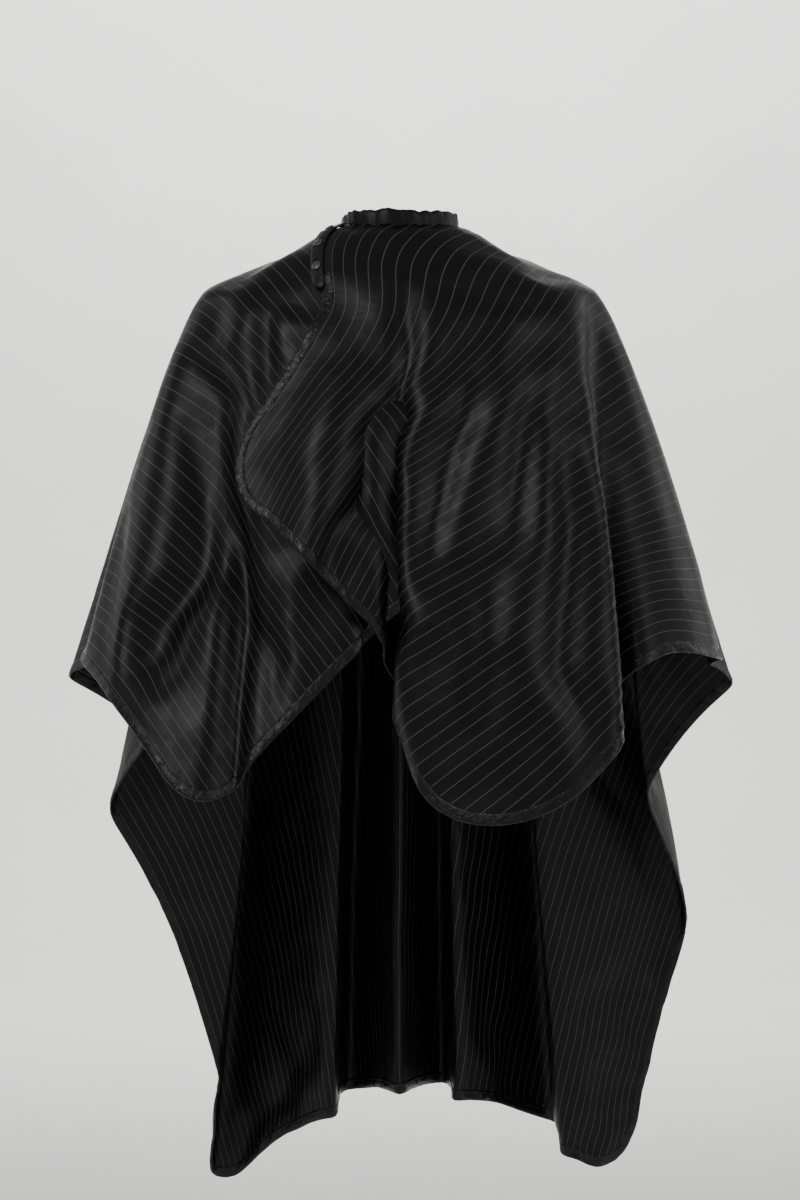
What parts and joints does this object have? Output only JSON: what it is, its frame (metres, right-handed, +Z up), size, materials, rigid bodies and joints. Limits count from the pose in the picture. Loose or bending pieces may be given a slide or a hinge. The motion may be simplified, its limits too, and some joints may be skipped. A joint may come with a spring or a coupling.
{
  "type": "barber cape",
  "caption": "Pinstriped satin salon cape closed round a neck, with bound hems, an elastic neckband, lapped back flaps and a snap strap.",
  "frame": {"origin": "centre of the neck opening, level with the neckband's seam at the back of the neck; the cape hangs from it", "axes": "+X towards the wearer's right, +Y towards the wearer's front, +Z up"},
  "size_m": [0.7488, 0.4795, 1.072],
  "materials": {
    "cloth": "satin, fine light pinstripes",
    "binding": "satin bias tape",
    "elastic": "woven elastic",
    "snap": "black nickel"
  },
  "bodies": {
    "cape": {"outer_back_cloth": "cloth", "inner_back_cloth": "cloth", "right_side_cloth": "cloth", "left_side_cloth": "cloth", "front_cloth": "cloth", "outer_slit_binding": "binding", "outer_hem_binding": "binding", "inner_slit_binding": "binding", "inner_hem_binding": "binding", "right_hem_binding": "binding", "left_hem_binding": "binding", "front_hem_binding": "binding", "neckband_shell": "binding", "neckband_elastic": "elastic", "snap_stud_1": "snap", "snap_stud_2": "snap", "snap_stud_3": "snap", "snap_post_1": "snap", "snap_post_2": "snap", "snap_post_3": "snap"},
    "outer_flap": {"outer_flap_cloth": "cloth", "outer_flap_binding": "binding"},
    "inner_flap": {"inner_flap_cloth": "cloth", "inner_flap_binding": "binding"},
    "closure_strap": {"closure_strap_tape": "binding", "snap_cap_1": "snap", "snap_cap_2": "snap", "snap_cap_3": "snap", "snap_socket_1": "snap", "snap_socket_2": "snap", "snap_socket_3": "snap"}
  },
  "joints": [
    {"name": "outer_flap_swing", "type": "hinge", "parent": "cape", "child": "outer_flap", "pos_m": [-0.15, -0.146, -0.158], "axis": [-0.6398, 0.1177, 0.7595], "range_deg": [0, 70]},
    {"name": "inner_flap_swing", "type": "hinge", "parent": "cape", "child": "inner_flap", "pos_m": [-0.0964, -0.195, -0.4876], "axis": [-0.9711, 0.2048, -0.1224], "range_deg": [0, 60]},
    {"name": "closure_strap_peel", "type": "hinge", "parent": "cape", "child": "closure_strap", "pos_m": [-0.0588, -0.0325, 0.0084], "axis": [-0.5286, 0.848, -0.037], "range_deg": [0, 80]}
  ]
}
